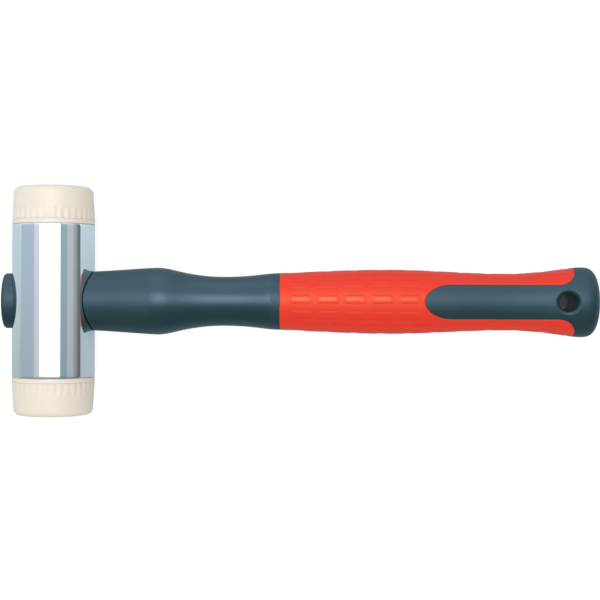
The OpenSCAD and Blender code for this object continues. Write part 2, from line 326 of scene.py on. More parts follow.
for word, side, body in (("upper", 1, "face_up"), ("lower", -1, "face_down")):
    tip = [0, side * (BARREL_HALF + FACE_TOP), 0]
    root = [0, side * (BARREL_HALF - STUD_LEN), 0]
    face = shape(word + "_nylon_face", *sock(face_rings(side), tip, root))
    finish_piece(face, word + "_face", body)

# %% [markdown]
# ## The rings
# A thin ring lies between each face and the barrel, and is held on the neck of the stud. A Torus would be
# too round, so it is a hoop: a small rectangle with round corners, carried round the head axis.

# %% The rings
RING_PLAY, RING_CORNER, CORNER_POINTS = 0.4, 0.1, 6
RING_R, RING_BORE_R = BARREL_R, CORE_R + RING_PLAY


def ring_rings(side):
    """A rectangle with round corners, as rows: each corner is a quarter circle about its own centre."""
    corner = np.repeat(np.arange(4), CORNER_POINTS)
    turn = np.tile(np.linspace(0, np.pi / 2, CORNER_POINTS), 4) + corner * np.pi / 2
    centre_r = np.where((corner == 0) | (corner == 3), RING_R - RING_CORNER, RING_BORE_R + RING_CORNER)
    centre_h = np.where(corner < 2, RING_GAP + RING_T - RING_CORNER, RING_GAP + RING_CORNER)
    r = centre_r + RING_CORNER * np.cos(turn)
    height = centre_h + RING_CORNER * np.sin(turn)
    return turned(r[:, None], side * (BARREL_HALF + height), barrel_angle)


for word, side, body in (("upper", 1, "ring_up"), ("lower", -1, "ring_down")):
    ring = shape(word + "_seat_ring", *hoop(ring_rings(side)))
    finish_piece(ring, word + "_ring", body)

# %% [markdown]
# ## The handle's outline
# One curve carries the whole handle: neck, crest, waist, belly, tail, flare and butt. It is a chain of
# cubic pieces between stations, each a distance, a half height and a slope, so it is smooth where they
# meet. A curve object could hold it too, but stations are easy to set from measured heights.
# The handle is an oval, a little less deep than it is high.

# %% The outline
OVAL = 0.85
STATIONS = np.array([
    [0, 13.04, 0.04], [19, 13.8, 0.04], [48, 15.6, 0.05], [58, 14.1, -0.24], [79.5, 11.45, 0],
    [97, 12.55, 0.135], [105.5, 13.25, 0.045], [157, 15, 0], [210.5, 13.25, 0], [236, 15.25, 0.14],
    [246, 16.3, 0],
])
BUTT_X, END_X, END_FLAT, END_POWER = 246.0, 253.9, 2.0, 2.75


def half_height(x):
    """Half the handle's height at distance x: a cubic from each station to the next, by their heights
    and slopes, and a superellipse round the butt's end."""
    x = np.asarray(x, float)
    k = np.clip(np.searchsorted(STATIONS[:, 0], x, side="right") - 1, 0, len(STATIONS) - 2)
    x0, h0, m0 = np.moveaxis(STATIONS[k], -1, 0)
    x1, h1, m1 = np.moveaxis(STATIONS[k + 1], -1, 0)
    span = x1 - x0
    t = (x - x0) / span
    cubic = ((2 * t**3 - 3 * t**2 + 1) * h0 + (t**3 - 2 * t**2 + t) * span * m0
             + (3 * t**2 - 2 * t**3) * h1 + (t**3 - t**2) * span * m1)
    round_off = np.clip((x - BUTT_X) / (END_X - BUTT_X), 0, 1)
    end = END_FLAT + (STATIONS[-1, 1] - END_FLAT) * (1 - round_off**END_POWER) ** (1 / END_POWER)
    return np.where(x > BUTT_X, end, cubic)


print("half heights at crest, waist and belly:", half_height([48, 79.5, 157]).round(2))

# %% [markdown]
# ## The soft sleeve
# The red sleeve is a thick tube at the front. Behind the tongue's nose it is open on the top and the
# bottom, and goes on as two horns. A Boolean could cut the windows out of a tube, but here the rows
# follow the edge, so that it can be rounded. One half is a patch: rows along x, and columns round the side
# from the edge of the upper window to the edge of the lower one. The other half is its mirror image.

# %% The tongue's edge
GRIP_X, HORN_X, NOSE_X, NOSE_LEN = 105.5, 242.1, 172.6, 12.0
TONGUE_HALF, HORN_ROUND, SLEEVE_T, BOND = 8.0, 7.6, 2.2, 0.05
RIM_ROWS = [0.12, 0.25, 0.4]
NOSE_WALK, CORNER_WALK, SIDE_STRETCH = 14, 8, 1.6
TINY = 1e-9


def sleeve_rows(step, gap):
    """Distances x of the rows, half the window's height at each, and the number of the row at the nose's
    tip. The nose is half an ellipse and the horns' inner corners are quarter circles, so both are walked
    by angle. gap draws every edge in."""
    front = np.arange(GRIP_X + step, NOSE_X - step / 2, step)
    front = np.concatenate([GRIP_X + np.array([gap] + RIM_ROWS), front, [NOSE_X - gap]])
    nose = np.linspace(0, np.pi / 2, int(NOSE_WALK / step))[1:]
    corner = np.linspace(0, np.pi / 2, int(CORNER_WALK / step))
    sides = np.arange(NOSE_X + NOSE_LEN + step, HORN_X - HORN_ROUND - step / 2, SIDE_STRETCH * step)
    x = np.concatenate([front, NOSE_X + NOSE_LEN * (1 - np.cos(nose)), sides,
                        HORN_X - gap - HORN_ROUND + HORN_ROUND * np.sin(corner)])
    edge = np.concatenate([0 * front, gap + TONGUE_HALF * np.sin(nose), 0 * sides + gap + TONGUE_HALF,
                           gap + TONGUE_HALF + HORN_ROUND * (1 - np.cos(corner))])
    return x, edge, len(front) - 1


def edge_distance(x, y):
    """Distance from a place on the sleeve, seen along z, to the sleeve's nearest edge: the rim, the nose
    (how far outside the ellipse, over its gradient), the straight sides, or the horns' round ends."""
    y = np.abs(y)
    from_nose = NOSE_X + NOSE_LEN - x
    level = np.hypot(from_nose / NOSE_LEN, y / TONGUE_HALF) + TINY
    slope = np.hypot(from_nose / NOSE_LEN**2, y / TONGUE_HALF**2) / level + TINY
    to_window = np.where(from_nose > 0, (level - 1) / slope, y - TONGUE_HALF)
    past = x - (HORN_X - HORN_ROUND)
    short = TONGUE_HALF + HORN_ROUND - y
    to_corner = HORN_ROUND - np.hypot(past, np.maximum(short, 0))
    to_window = np.where((past > 0) & (short > 0), to_corner, to_window)
    return np.maximum(0, np.minimum(np.minimum(x - GRIP_X, HORN_X - x), to_window))


print("the tongue is", 2 * TONGUE_HALF, "mm high and the sleeve", HORN_X - GRIP_X, "mm long")

# %% [markdown]
# Rows of slightly domed dashes stand out of the sleeve, with a fine groove along each long side. They
# lie a twelfth of a turn apart. Those on the top and bottom stop at the tongue, and those on the sides are
# set half a step on and follow the horns. The thumb lies on the middle rows and wears their crowns smooth.
# Raised points show more truly than a bump here, because the highlight follows the form of each dash.

# %% The dashes
DASH_LEN, DASH_H, DASH_ROUND, DASH_STEP, DASH_X = 9.7, 3.7, 1.2, 12.5, 115.3
DASH_TURN, DASH_SHIFT, HALF_TURN_ROWS = np.radians(30), np.radians(4.5), 6
LAST_FACING, LAST_SIDE, CORNER_FADE = 4, 9, 1.6


def dash_distance(x, turn, r):
    """Signed distance to the nearest dash, a rectangle with round corners on the unrolled sleeve: negative
    inside. turn is the angle from the top towards +y, and r the radius there. Also tells if the dash is in
    a middle row, and how far its long side is the nearest, from 0 to 1 across the diagonal of a corner."""
    row = np.round((turn - DASH_SHIFT) / DASH_TURN)
    across = (turn - DASH_SHIFT - row * DASH_TURN) * r
    from_middle = np.abs((row + HALF_TURN_ROWS / 2) % HALF_TURN_ROWS - HALF_TURN_ROWS / 2)
    facing = from_middle <= 1
    first = np.where(facing, DASH_X, DASH_X + DASH_STEP / 2)
    number = np.clip(np.round((x - first) / DASH_STEP), 0, np.where(facing, LAST_FACING, LAST_SIDE))
    along = x - first - number * DASH_STEP
    dx = np.abs(along) - DASH_LEN / 2 + DASH_ROUND
    dy = np.abs(across) - DASH_H / 2 + DASH_ROUND
    outside = np.hypot(np.maximum(dx, 0), np.maximum(dy, 0))
    away = outside + np.minimum(np.maximum(dx, dy), 0) - DASH_ROUND
    return away, from_middle == 0, ease(0.5 + (dy - dx) / CORNER_FADE)


dash_places = DASH_X + np.array([0, DASH_LEN / 2])
dash_depth = dash_distance(dash_places, DASH_SHIFT, half_height(DASH_X))[0]
print("signed distance from a dash's middle and tip to its edge, mm:", dash_depth.round(2))

# %% [markdown]
# The height of the skin is measured down from the handle's outline, so that nothing stands past it. Two
# marks go with it for the finish: where a crown is worn smooth, and where a groove runs, to paint shade in.

# %% The sleeve's relief
DOME, BETWEEN, GROOVE, RIM_GROOVE = 0.1, 0.04, 0.07, 0.08
FLANK, GROOVE_AT, GROOVE_W = 0.5, 0.1, 0.3
CROWN_FROM, CROWN_FADE, UNWORN = 0.6, 0.9, 0.25
RIM_X, RIM_W, RIM_FADE = 109.4, 0.4, 0.6
LAND_FROM, LAND_FADE, EDGE_ROUND = 1.2, 1.6, 0.45


def sleeve_relief(x, y, turn, r):
    """Height of the sleeve's skin, and two marks for its finish: where a crown is worn smooth, and where a
    groove gets painted shade. The skin is domed by the square of the share of the way out on the dashes, a
    little lower between them, with bell-shaped grooves beside each dash and behind the rim, and edges
    rounded by quarter circles."""
    gap = edge_distance(x, y)
    away, middle, beside = dash_distance(x, turn, r)
    inland = ease((gap - LAND_FROM) / LAND_FADE) * ease((x - RIM_X) / RIM_FADE)
    dash = ease(0.5 - away / FLANK)
    dome = DOME * np.clip(1 + 2 * away / DASH_H, 0, 1) ** 2
    groove = np.exp(-((away - GROOVE_AT) / GROOVE_W) ** 2) * beside
    crown = ease((-away - CROWN_FROM) / CROWN_FADE) * np.where(middle, 1, UNWORN)
    rim = np.exp(-(((x - RIM_X) / RIM_W) ** 2))
    corner = np.maximum(0, EDGE_ROUND - gap)
    bevel = EDGE_ROUND - np.sqrt(EDGE_ROUND**2 - corner**2)
    lift = -(dome + BETWEEN * (1 - dash) + GROOVE * groove) * inland - RIM_GROOVE * rim - bevel
    # The groove's mark also tells the rubber where to paint shade into the grooves.
    return lift, np.stack([crown, groove], axis=-1) * inland[..., None]


probe_turn = DASH_SHIFT + np.linspace(0, DASH_TURN / 2, 200)
probe_r = half_height(DASH_X)
probe_lift = sleeve_relief(DASH_X, probe_r * np.sin(probe_turn), probe_turn, probe_r)[0]
print("from a dash to the next row the relief goes down by", round(-probe_lift.min(), 2), "mm")

# %% [markdown]
# The patch has an outside and an inside, joined by strips along its edges, so the sleeve is a closed solid.
# The plain form of the same patch, without relief, will later cut the sleeve's room out of the shaft.

# %% Faces of the sleeve
def strip(a, b):
    """Quads between two rows of points of the same length."""
    return np.stack([a[:-1], a[1:], b[1:], b[:-1]], axis=-1).reshape(-1, 4)


def patch_quads(grid):
    """Quads of a grid of point numbers, each between two rows and two columns."""
    corners = [grid[:-1, :-1], grid[:-1, 1:], grid[1:, 1:], grid[1:, :-1]]
    return np.stack(corners, axis=-1).reshape(-1, 4)


def shell_faces(rows, columns, tip):
    """Faces of one half: the outside, the inside turned round, and strips that join them at the rim, at the
    horn's end, and along both window edges from the tip of the nose on."""
    out, ins = np.arange(2 * rows * columns).reshape(2, rows, columns)
    return np.concatenate([
        patch_quads(out),
        patch_quads(ins)[:, ::-1],
        strip(out[0, ::-1], ins[0, ::-1]),
        strip(out[-1], ins[-1]),
        strip(out[tip:, 0], ins[tip:, 0]),
        strip(out[tip:, -1][::-1], ins[tip:, -1][::-1]),
    ])


print("a half of 3 rows and 3 columns has", len(shell_faces(3, 3, 1)), "faces")

# %% Points of the sleeve
FINE_STEP, FINE_COLUMNS = 0.62, 112
EDGE_SHARES = np.array([0, 0.004, 0.010, 0.018])
FIRST_SHARE, PROUD, MEAN_R = 0.03, 1.0, 0.93


def sleeve_shell(step, columns, gap, relief):
    """Points, faces and finish marks of the sleeve. Each row runs over the oval from the window's upper
    edge to its lower edge, and is a single place where the window is wider than the oval, as inside the
    horns' tips. gap draws every edge in. Without relief it is the plain form, proud of the handle."""
    x, edge, tip = sleeve_rows(step, gap)
    middle = np.linspace(FIRST_SHARE, 1 - FIRST_SHARE, columns)
    share = np.concatenate([EDGE_SHARES, middle, 1 - EDGE_SHARES[::-1]])[None, :]
    points, finish, faces = [], [], []
    for mirror in (1, -1):
        for layer in ("outside", "inside"):
            proud = (0 if relief else PROUD) if layer == "outside" else gap - SLEEVE_T
            half = half_height(x)[:, None] + proud
            angle = np.arccos(np.minimum(edge[:, None] / half, 1)) * (1 - 2 * share)
            y = np.maximum(half * np.cos(angle), edge[:, None])
            z = OVAL * half * np.sin(angle)
            marks = np.zeros((*y.shape, 2))
            if relief and layer == "outside":
                lift, marks = sleeve_relief(x[:, None], y, mirror * (np.pi / 2 - angle), MEAN_R * half)
                steep = np.hypot(OVAL * np.cos(angle), np.sin(angle))
                y = y + lift * OVAL * np.cos(angle) / steep
                z = z + lift * np.sin(angle) / steep
            points.append(np.stack([x[:, None] + 0 * y, mirror * y, z], axis=-1).reshape(-1, 3))
            finish.append(marks.reshape(-1, 2))
        half_faces = shell_faces(len(x), share.size, tip)
        faces.append(half_faces if mirror > 0 else half_faces[:, ::-1] + 2 * len(x) * share.size)
    return np.concatenate(points), faces, np.concatenate(finish)


sleeve_points, sleeve_faces, sleeve_marks = sleeve_shell(FINE_STEP, FINE_COLUMNS, BOND, True)
print("the sleeve has", len(sleeve_points), "points")

# %% The sleeve
WELD = 1e-7


def weld(made):
    """Merges the points that the two halves share along the top and the bottom of the front."""
    joined = bmesh.new()
    joined.from_mesh(made.data)
    bmesh.ops.remove_doubles(joined, verts=joined.verts, dist=WELD)
    joined.to_mesh(made.data)
    joined.free()


sleeve = shape("red_sleeve", sleeve_points, sleeve_faces)
# The second mark carries the painted shade of the grooves beside the dashes.
for word, mark in zip(("smooth", "groove_shade"), sleeve_marks.T):
    sleeve.data.attributes.new(word, "FLOAT", "POINT").data.foreach_set("value", mark.copy())
weld(sleeve)
finish_piece(sleeve, "grip_sleeve", BODY)

# %% [markdown]
# ## The hard handle
# The dark moulding is one loft from the barrel to the butt. Booleans then take out the barrel, the
# sleeve's room, the bore for the rod, and the hanging hole, because their edges cross its rows at all
# angles. The hole's lip is rounded all the way round, so its cutter opens like a trumpet that follows the
# oval surface.

# %% Plain cutters
FIT, SEAM = 0.05, 0.42
ROD_R, ROD_END = 5.0, 226.0
BARREL_REACH = 30
PLAIN_STEP, PLAIN_COLUMNS = 1.5, 40


def barrel_space(gap):
    """A plain cylinder round the head axis, larger than the barrel by a gap."""
    y = np.linspace(-BARREL_REACH, BARREL_REACH, 41)
    rings = turned(np.full((len(y), 1), BARREL_R + gap), y, circle(192))
    return shape("barrel_space", *sock(rings, [0, -BARREL_REACH, 0], [0, BARREL_REACH, 0]))


def rod_space(start, end):
    """A plain cylinder along the handle, a little larger than the rod."""
    x = np.linspace(start, end, 12)
    r = np.full(len(x), ROD_R + FIT)
    return shape("rod_space", *sock(along_x(x, r, r, 64), [start, 0, 0], [end, 0, 0]))


def sleeve_space():
    """The sleeve's plain form, proud of the handle and as deep as the sleeve and its bond."""
    made = shape("sleeve_space", *sleeve_shell(PLAIN_STEP, PLAIN_COLUMNS, 0, False)[:2])
    weld(made)
    return made


print("the neck stands", SEAM, "mm off the barrel, and the cap", FIT, "mm")

# %% The hole's cutter
HOLE_X, HOLE_R, HOLE_REACH = 238.1, 4.1, 25
LIP_R, LIP_SINK, LIP_TURN = 2.5, 0.12, 0.46 * np.pi


def hole_space():
    """A trumpet at both ends of a bore. At a distance d outside the bore's radius, its lip lies below the
    surface by R - sqrt(R^2 - (R - d)^2), a quarter circle of radius R, raised a little to end crisply."""
    angle = circle(96)
    out = LIP_R * (1 - np.cos(np.linspace(0, LIP_TURN, 16)))[:, None]
    sink = LIP_R - np.sqrt(LIP_R**2 - (LIP_R - out) ** 2) - LIP_SINK
    x = HOLE_X + (HOLE_R + out) * np.cos(angle)
    y = (HOLE_R + out) * np.sin(angle)
    z = OVAL * np.sqrt(half_height(x) ** 2 - y**2) - sink
    lip = np.stack([x, y, z], axis=-1)
    far = lip[-1:] * [1, 1, 0] + [0, 0, HOLE_REACH]
    top = np.concatenate([far, lip[::-1]])
    rings = np.concatenate([top, (top * [1, 1, -1])[::-1]])
    return shape("hole_space", *sock(rings, [HOLE_X, 0, HOLE_REACH], [HOLE_X, 0, -HOLE_REACH]))


print("the hanging hole is", 2 * HOLE_R, "mm wide inside its lip")

# %% [markdown]
# The rows of the loft draw closer together towards the butt's end, where its outline turns in fastest.

# %% The shaft
LOFT_ROWS, BUTT_ROWS, LOFT_COLUMNS = 206, 22, 144
butt_turn = np.linspace(0, np.pi / 2, BUTT_ROWS)[1:]
loft_x = np.concatenate([np.linspace(0, BUTT_X, LOFT_ROWS), BUTT_X + (END_X - BUTT_X) * np.sin(butt_turn)])
loft_h = half_height(loft_x)
loft_rings = along_x(loft_x, loft_h, OVAL * loft_h, LOFT_COLUMNS)
shaft = shape("hard_handle", *sock(loft_rings, [0, 0, 0], [END_X, 0, 0]))
carve(shaft, [barrel_space(SEAM), sleeve_space(), rod_space(0, ROD_END + FIT), hole_space()])
finish_piece(shaft, "handle_shaft", BODY)

# %% [markdown]
# ## The cap on the far side of the eye
# A low oval button closes the eye. Its outer edge is rounded, and the barrel shapes its inner side. It
# could be a scaled cylinder with a Bevel, but lofted rings need no modifier.

# %% The cap
CAP_X, CAP_HALF, CAP_ROUND, ROD_START = -22.8, 12.8, 1.4, -21.0
CAP_OVAL = 9.0 / CAP_HALF
CAP_TOP_ROWS, CAP_ROUND_ROWS, CAP_SIDE_ROWS, CAP_COLUMNS = 6, 9, 24, 128
cap_flat = CAP_HALF - CAP_ROUND
turn = np.linspace(0, np.pi / 2, CAP_ROUND_ROWS)[1:]
cap_side = np.linspace(CAP_X + CAP_ROUND, 0, CAP_SIDE_ROWS)[1:]
cap_x = np.concatenate([np.full(CAP_TOP_ROWS, CAP_X), CAP_X + CAP_ROUND * (1 - np.cos(turn)), cap_side])
cap_half = np.concatenate([np.linspace(FIRST_R, cap_flat, CAP_TOP_ROWS), cap_flat + CAP_ROUND * np.sin(turn),
                           np.full(len(cap_side), CAP_HALF)])
cap_rings = along_x(cap_x, cap_half, CAP_OVAL * cap_half, CAP_COLUMNS)
cap = shape("oval_cap", *sock(cap_rings, [CAP_X, 0, 0], [0, 0, 0]))
carve(cap, [barrel_space(FIT), rod_space(ROD_START - FIT, 1)])
finish_piece(cap, "eye_cap", BODY)

# %% [markdown]
# ## Materials
# Each finish is a node tree over the object's own coordinates, so it stays put when a piece moves.
# Images could carry the finishes too, but noise stays sharp at any distance and needs no unwrapping.
# A few small tools build them all: noise of a given grain, a number or a colour that follows a value,
# the product of two numbers, and a bump.

# %% Colours
def linear(code):
    """A screen colour, six hex digits, as linear light: ((c + 0.055) / 1.055) ^ 2.4 above 0.04, and
    c / 12.92 below."""
    c = np.array([int(code[n:n + 2], 16) for n in (0, 2, 4)]) / 255
    return (*np.where(c > 0.04045, ((c + 0.055) / 1.055) ** 2.4, c / 12.92), 1.0)


print("half white on the screen is", round(linear("808080")[0], 3), "of white light")


# %% Values and ramps
def new_material(name):
    """An empty material with its shader."""
    material = bpy.data.materials.new(name)
    material.use_nodes = True
    return material, material.node_tree, material.node_tree.nodes["Principled BSDF"]


def noise(tree, per_metre, stretch=(1, 1, 1), detail=3):
    """Noise with so many grains a metre. A small stretch along an axis draws the grains out along it."""
    place = tree.nodes.new("ShaderNodeTexCoord")
    scale = tree.nodes.new("ShaderNodeMapping")
    scale.inputs["Scale"].default_value = stretch
    grain = tree.nodes.new("ShaderNodeTexNoise")
    grain.inputs["Scale"].default_value = per_metre
    grain.inputs["Detail"].default_value = detail
    tree.links.new(place.outputs["Object"], scale.inputs["Vector"])
    tree.links.new(scale.outputs["Vector"], grain.inputs["Vector"])
    return grain.outputs["Fac"]


def between(tree, value, low, high, start=0.3, end=0.7):
    """A number that goes from low to high as the value goes from start to end."""
    span = tree.nodes.new("ShaderNodeMapRange")
    for socket, number in (("From Min", start), ("From Max", end), ("To Min", low), ("To Max", high)):
        span.inputs[socket].default_value = number
    tree.links.new(value, span.inputs["Value"])
    return span.outputs["Result"]


def shades(tree, value, stops):
    """A colour ramp: pairs of a place from 0 to 1 and a screen colour."""
    ramp = tree.nodes.new("ShaderNodeValToRGB")
    places = ramp.color_ramp.elements
    while len(places) < len(stops):
        places.new(0.5)
    for element, (where, code) in zip(places, sorted(stops)):
        element.position = where
        element.color = linear(code)
    tree.links.new(value, ramp.inputs["Fac"])
    return ramp.outputs["Color"]


def times(tree, first, second):
    """The product of two numbers."""
    product = tree.nodes.new("ShaderNodeMath")
    product.operation = "MULTIPLY"
    tree.links.new(first, product.inputs[0])
    tree.links.new(second, product.inputs[1])
    return product.outputs["Value"]


print("tools for values:", [tool.__name__ for tool in (noise, between, shades, times)])


# %% Bump and paint
def bump(tree, shader, height, strength, depth_mm):
    """Raises the shading by a height, as a share of a depth."""
    raised = tree.nodes.new("ShaderNodeBump")
    raised.inputs["Strength"].default_value = strength
    raised.inputs["Distance"].default_value = depth_mm / 1000
    tree.links.new(height, raised.inputs["Height"])
    tree.links.new(raised.outputs["Normal"], shader.inputs["Normal"])


def paint(material, *made):
    """Gives each piece the material."""
    for piece in made:
        piece.data.materials.clear()
        piece.data.materials.append(material)


print("tools for pieces:", [tool.__name__ for tool in (bump, paint)])

# %% [markdown]
# Chrome plate is a mirror with a faint blue cast. Handling leaves it a little duller in patches, and
# wiping leaves hair-fine lines round the barrel. They are too fine for the mesh, so they are a bump.

# %% Chrome
chrome, tree, shader = new_material("polished chrome")
shader.inputs["Metallic"].default_value = 1.0
tint = shades(tree, noise(tree, 40), [(0.3, "F2F5F7"), (0.7, "F7F8F9")])
tree.links.new(tint, shader.inputs["Base Color"])
tree.links.new(between(tree, noise(tree, 90), 0.035, 0.075), shader.inputs["Roughness"])
bump(tree, shader, noise(tree, 1800, (0.1, 1, 0.1)), strength=0.02, depth_mm=0.02)
paint(chrome, barrel)
print("chrome on", barrel.name)

# %% [markdown]
# Cast nylon is cream, lets light in a little way and is satin from the mould. Without the light inside it
# would look like paint. The faces show faint clouds in the colour. The rings are a paler nylon.

# %% Nylon
def nylon(name, deep, pale, satin):
    """Cream plastic: clouds of two close shades, a little light inside, and a fine mould texture."""
    material, tree, shader = new_material(name)
    tree.links.new(shades(tree, noise(tree, 70), [(0.3, deep), (0.7, pale)]), shader.inputs["Base Color"])
    tree.links.new(between(tree, noise(tree, 300), satin - 0.05, satin + 0.05), shader.inputs["Roughness"])
    shader.inputs["Subsurface Weight"].default_value = 0.2
    shader.inputs["Subsurface Radius"].default_value = (1.0, 0.8, 0.5)
    shader.inputs["Subsurface Scale"].default_value = 0.002
    bump(tree, shader, noise(tree, 2500), strength=0.12, depth_mm=0.05)
    return material


faces = [bpy.data.objects[word + "_nylon_face"] for word in ("upper", "lower")]
rings = [bpy.data.objects[word + "_seat_ring"] for word in ("upper", "lower")]
paint(nylon("cream nylon", deep="EDE4D3", pale="EFE7D7", satin=0.42), *faces)
paint(nylon("pale nylon", deep="EEE5D5", pale="F0E8DA", satin=0.40), *rings)
print("nylon on", [piece.name for piece in faces + rings])

# %% [markdown]
# The handle is a slate grey moulding. Its neck, collar and butt carry a fine spark-eroded grain, and the
# waist between them is smooth, so the lamp's sheen is broad on the one and crisp on the other. One
# material with a mask along the handle does both, so no seam is needed in the mesh. The sheen lightens
# the whole top side, so the plastic itself is darker than it looks.

# %% Slate moulding
SMOOTH_FROM, SMOOTH_TO = 46.5, 101.4
FADE_IN, FADE_OUT = 0.8, 0.3
MATTE, SATIN, GRAIN_LEFT = 0.46, 0.35, 0.15


def object_axes(tree):
    """The object's own coordinates, in metres, split into X, Y and Z."""
    place = tree.nodes.new("ShaderNodeTexCoord")
    axes = tree.nodes.new("ShaderNodeSeparateXYZ")
    tree.links.new(place.outputs["Object"], axes.inputs["Vector"])
    return axes.outputs


def past(tree, x, fade):
    """0 before a place along the handle and 1 after it, with a fade to each side. Both are in mm."""
    start, end = ((x + shift + HEAD[0]) / 1000 for shift in (-fade, fade))
    return between(tree, object_axes(tree)["X"], 0, 1, start, end)


slate, tree, shader = new_material("slate moulding")
clouds = shades(tree, noise(tree, 120), [(0.3, "193437"), (0.7, "1C373A")])
tree.links.new(clouds, shader.inputs["Base Color"])
before_end = between(tree, past(tree, SMOOTH_TO, FADE_OUT), 1, 0, 0, 1)
smooth = times(tree, past(tree, SMOOTH_FROM, FADE_IN), before_end)
tree.links.new(between(tree, smooth, MATTE, SATIN, 0, 1), shader.inputs["Roughness"])
shader.inputs["Specular IOR Level"].default_value = 0.85
shader.inputs["Specular Tint"].default_value = linear("C3DEFC")
sparks = between(tree, noise(tree, 2600), -0.5, 0.5, 0, 1)
grain = times(tree, sparks, between(tree, smooth, 1, GRAIN_LEFT, 0, 1))
bump(tree, shader, grain, strength=0.25, depth_mm=0.06)
paint(slate, shaft, cap)
print("slate on", shaft.name, "and", cap.name)

# %% [markdown]
# The sleeve is soft red rubber with a fine grain. Two attributes of its mesh tell the shader where a crown
# is worn smooth, so that it mirrors a lamp more sharply, and where the grooves lie, whose red is darkened as
# painted shade. Noise in space couldn't follow the dashes. Light enters the rubber a little before it turns
# back, so its sheen is warm.

# %% Red rubber
SKIN_ROUGH, CROWN_ROUGH = 0.5, 0.3
SKIN_SHEEN, CROWN_SHEEN = 0.85, 0.75
rubber, tree, shader = new_material("red rubber")
marks = {word: tree.nodes.new("ShaderNodeAttribute") for word in ("smooth", "groove_shade")}
for word, node in marks.items():
    node.attribute_name = word
worn, groove_shade = (marks[word].outputs["Fac"] for word in ("smooth", "groove_shade"))
# The darker red is painted shade in the grooves beside the dashes.
tree.links.new(shades(tree, groove_shade, [(0, "EC281C"), (1, "DF2217")]), shader.inputs["Base Color"])
tree.links.new(between(tree, worn, SKIN_ROUGH, CROWN_ROUGH, 0, 1), shader.inputs["Roughness"])
tree.links.new(between(tree, worn, SKIN_SHEEN, CROWN_SHEEN, 0, 1), shader.inputs["Specular IOR Level"])
shader.inputs["Specular Tint"].default_value = linear("FFDEB0")
bump(tree, shader, noise(tree, 2200), strength=0.3, depth_mm=0.06)
paint(rubber, sleeve)
print("red rubber on", sleeve.name)

# %% [markdown]
# The rod and the resin keep their CAD shapes, because they are hidden in the handle and the eye. They
# still get their finish: glass fibres along the rod, and clouded amber resin.

# %% Hidden pieces
fibre, tree, shader = new_material("glass fibre")
strands = noise(tree, 1500, (0.02, 1, 1), 5)
tree.links.new(shades(tree, strands, [(0.35, "C9BC7E"), (0.65, "E6DDB0")]), shader.inputs["Base Color"])
shader.inputs["Roughness"].default_value = 0.3
bump(tree, shader, strands, strength=0.2, depth_mm=0.05)
paint(fibre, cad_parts["core_rod"])

resin, tree, shader = new_material("cast resin")
clouds = shades(tree, noise(tree, 150), [(0.3, "B98F45"), (0.7, "CDA65C")])
tree.links.new(clouds, shader.inputs["Base Color"])
shader.inputs["Roughness"].default_value = 0.22
bump(tree, shader, noise(tree, 600), strength=0.1, depth_mm=0.05)
paint(resin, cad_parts["eye_resin"])
print("finishes on core_rod and eye_resin")

# %% [markdown]
# ## The studio
# The hammer lies on a white floor. To the camera the floor glows up to plain white, so the picture's
# ground is white without more light on the hammer, and the shadow still shows. Mirrors see a dimmer,
# blue-grey glow on the floor, painted light that is brighter towards +y, where the lamps hang. A white world
# alone would need no floor, but the hammer would seem to float in it.

# %% Floor
FLOOR_Z, FLOOR_HALF = -0.0003, 4.0
floor_mesh = bpy.data.meshes.new("floor")
corners = np.array([(-1, -1, 0), (1, -1, 0), (1, 1, 0), (-1, 1, 0)]) * FLOOR_HALF + [0, 0, FLOOR_Z]
floor_mesh.from_pydata(corners.tolist(), [], [(0, 1, 2, 3)])
floor = bpy.data.objects.new("floor", floor_mesh)
bpy.context.scene.collection.objects.link(floor)
print("floor", 2 * FLOOR_HALF, "m wide")

# %% [markdown]
# The floor's look depends on the kind of ray that meets it. Each look is the same matte sheet with its own
# shade and glow, and Light Path chooses between them.

# %% Looks of a floor
def paper(tree, shade, glow, colour, air):
    """A matte sheet of a given shade that glows as well, by the share of open air over it."""
    matte = tree.nodes.new("ShaderNodeBsdfDiffuse")
    matte.inputs["Color"].default_value = (shade, shade, shade, 1)
    light = tree.nodes.new("ShaderNodeEmission")
    light.inputs["Color"].default_value = linear(colour)
    tree.links.new(between(tree, air, 0, glow, 0, 1), light.inputs["Strength"])
    both = tree.nodes.new("ShaderNodeAddShader")
    tree.links.new(matte.outputs["BSDF"], both.inputs[0])
    tree.links.new(light.outputs["Emission"], both.inputs[1])
    return both.outputs["Shader"]


def choose(tree, ray, other, mine):
    """One look for a kind of ray, and another for the rest."""
    paths = tree.nodes.new("ShaderNodeLightPath")
    pick = tree.nodes.new("ShaderNodeMixShader")
    tree.links.new(paths.outputs[ray], pick.inputs["Fac"])
    tree.links.new(other, pick.inputs[1])
    tree.links.new(mine, pick.inputs[2])
    return pick.outputs["Shader"]


print("tools for the floor:", [tool.__name__ for tool in (paper, choose)])

# %% [markdown]
# The glow fades in nooks under the hammer, which Ambient Occlusion finds, and in a round spot below the
# hanging hole, where the butt shades the floor. Both are painted shade. Without that the floor would shine
# up through the hole.

# %% White floor
NOOK, NOOK_DARK, NOOK_CLEAR = 0.009, 0.3, 0.64
SHADE_DARK, SHADE_CLEAR = 0.0034, 0.015
DIM_Y, DIM_SHARE, BRIGHT_Y = -0.06, 0.23, 0.4
white, tree, shader = new_material("white floor")
tree.nodes.remove(shader)
# Painted shade: the glow fades where Ambient Occlusion finds a nook under the hammer.
nook = tree.nodes.new("ShaderNodeAmbientOcclusion")
nook.inputs["Distance"].default_value = NOOK
nook.samples = 8
place = tree.nodes.new("ShaderNodeTexCoord")
